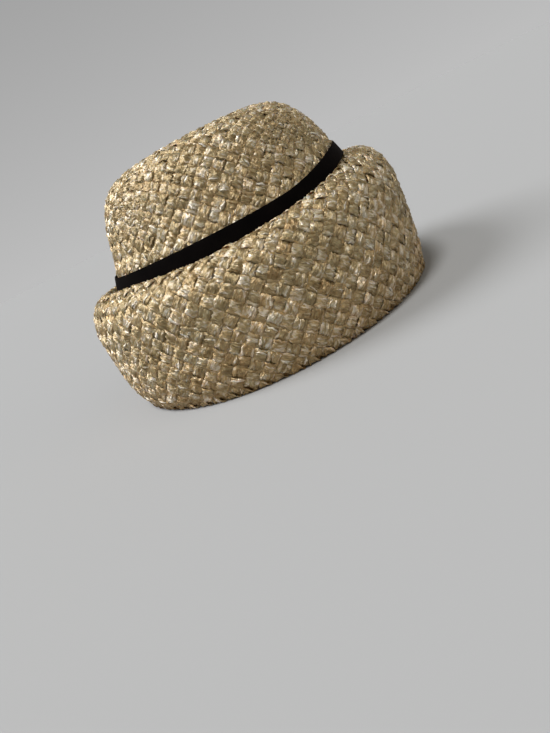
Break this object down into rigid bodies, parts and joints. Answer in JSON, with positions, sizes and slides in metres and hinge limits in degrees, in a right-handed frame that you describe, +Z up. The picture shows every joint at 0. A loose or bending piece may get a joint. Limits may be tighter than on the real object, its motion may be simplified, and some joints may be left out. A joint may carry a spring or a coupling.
{
  "type": "straw hat",
  "caption": "Woven straw hat with a rounded crown, a deep turned-down brim that rolls over a crest, and a narrow black velvet band.",
  "frame": {"origin": "centre of the hat's outline, on the plane that its rim rests on", "axes": "+X to the front of the hat, +Y to the wearer's left, +Z up"},
  "size_m": [0.2846, 0.266, 0.1742],
  "materials": {
    "straw": "wide glossy straw strips, woven over and under on the bias, natural champagne colour",
    "velvet": "black velvet ribbon with a short matt pile"
  },
  "bodies": {
    "root": {"crown": "straw", "brim": "straw", "band": "velvet"}
  },
  "joints": []
}
